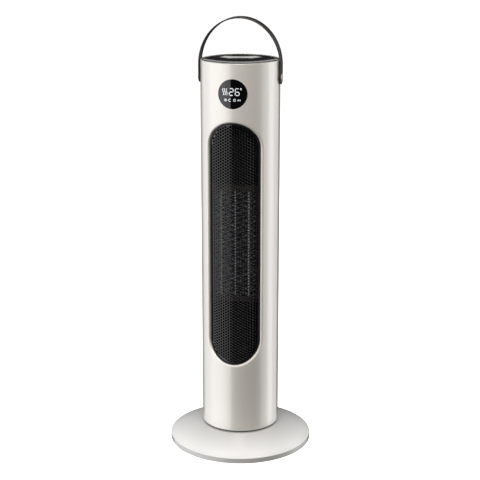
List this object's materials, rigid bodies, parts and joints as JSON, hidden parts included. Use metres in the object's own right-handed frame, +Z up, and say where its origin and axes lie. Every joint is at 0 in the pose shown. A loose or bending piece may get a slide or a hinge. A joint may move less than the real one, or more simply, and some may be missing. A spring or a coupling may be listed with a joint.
{
  "type": "ceramic tower heater",
  "caption": "Round column fan heater on a turning weighted base, with a tall grille over a ceramic element, a round display and a folding bail handle.",
  "frame": {"origin": "on the floor, in the middle of the round base", "axes": "+Z up along the column, -Y towards the front (the air outlet), +X to the right of someone facing along +Y"},
  "size_m": [0.232, 0.232, 0.697],
  "materials": {
    "shell_gloss": "pearl cream gloss",
    "base_gloss": "pearl cream gloss",
    "inner_black": "matte",
    "mesh_black": "black powder coat",
    "black_plastic": "black satin",
    "black_gloss": "piano black",
    "handle_plastic": "charcoal satin",
    "rubber": "matte",
    "steel": "satin",
    "black_steel": "black zinc",
    "display_light": "lit marks behind the window",
    "aluminium": "bare",
    "ceramic": "unglazed ceramic",
    "heater_brown": "heat-resistant moulding",
    "brass": "bare",
    "copper": "enamelled copper wire",
    "nylon": "natural nylon",
    "circuit_board": "solder mask",
    "component_plastic": "moulded",
    "filter_mesh": "woven mesh"
  },
  "bodies": {
    "base": {"base_cover": "base_gloss", "base_plate": "black_plastic", "base_weight": "steel", "base_feet": "rubber", "base_screws": "black_steel", "swivel_post": "nylon", "lower_race": "steel", "bearing_balls": "steel", "swivel_gear": "nylon"},
    "column": {"front_casing": "shell_gloss", "rear_casing": "shell_gloss", "seam_screws": "black_steel", "column_floor": "black_plastic", "upper_race": "steel", "top_cover": "black_gloss", "touch_panel": "black_gloss", "control_board": "circuit_board", "display_window": "black_gloss", "display_holder": "black_plastic", "display_board": "circuit_board", "display_module": "component_plastic", "grille_frame": "black_plastic", "outlet_grille": "mesh_black", "outlet_baffle": "inner_black", "heater_frame": "heater_brown", "heater_terminals": "brass", "ptc_tubes": "aluminium", "ptc_stones": "ceramic", "heater_fins": "aluminium", "thermal_cutout": "steel", "thermal_fuse": "ceramic", "duct_bottom": "inner_black", "duct_top": "inner_black", "fan_scroll": "inner_black", "fan_tongue": "inner_black", "bearing_holder": "rubber", "shaft_bushes": "brass", "motor_can": "steel", "motor_stator": "steel", "motor_windings": "copper", "motor_bracket": "steel", "motor_dampers": "rubber", "dust_filter": "filter_mesh", "power_board": "circuit_board", "board_components": "component_plastic", "terminal_block": "black_plastic", "tilt_switch": "component_plastic", "swivel_motor": "steel", "cord_gland": "black_plastic", "inner_screws": "black_steel", "handle_bushes": "black_plastic"},
    "blower": {"impeller": "inner_black", "motor_shaft": "steel", "stub_shaft": "steel", "motor_rotor": "steel"},
    "swivel_drive": {"pinion": "nylon", "pinion_shaft": "steel"},
    "handle": {"handle_band": "handle_plastic", "handle_pins": "nylon", "handle_clips": "steel"}
  },
  "joints": [
    {"name": "column_swivel", "type": "hinge", "parent": "base", "child": "column", "pos_m": [0, 0, 0.034], "axis": [0, 0, 1], "range_deg": [-35, 35]},
    {"name": "pinion_spin", "type": "hinge", "parent": "column", "child": "swivel_drive", "pos_m": [0, 0.03, 0.045], "axis": [0, 0, 1], "range_deg": [-142, 142]},
    {"name": "blower_spin", "type": "hinge", "parent": "column", "child": "blower", "pos_m": [0, 0.008, 0.345], "axis": [0, 0, 1], "continuous": true},
    {"name": "handle_fold", "type": "hinge", "parent": "column", "child": "handle", "pos_m": [0, 0, 0.604], "axis": [1, 0, 0], "range_deg": [-115, 115]}
  ],
  "couplings": [
    {"joint": "pinion_spin", "follows": "column_swivel", "ratio": 4}
  ]
}
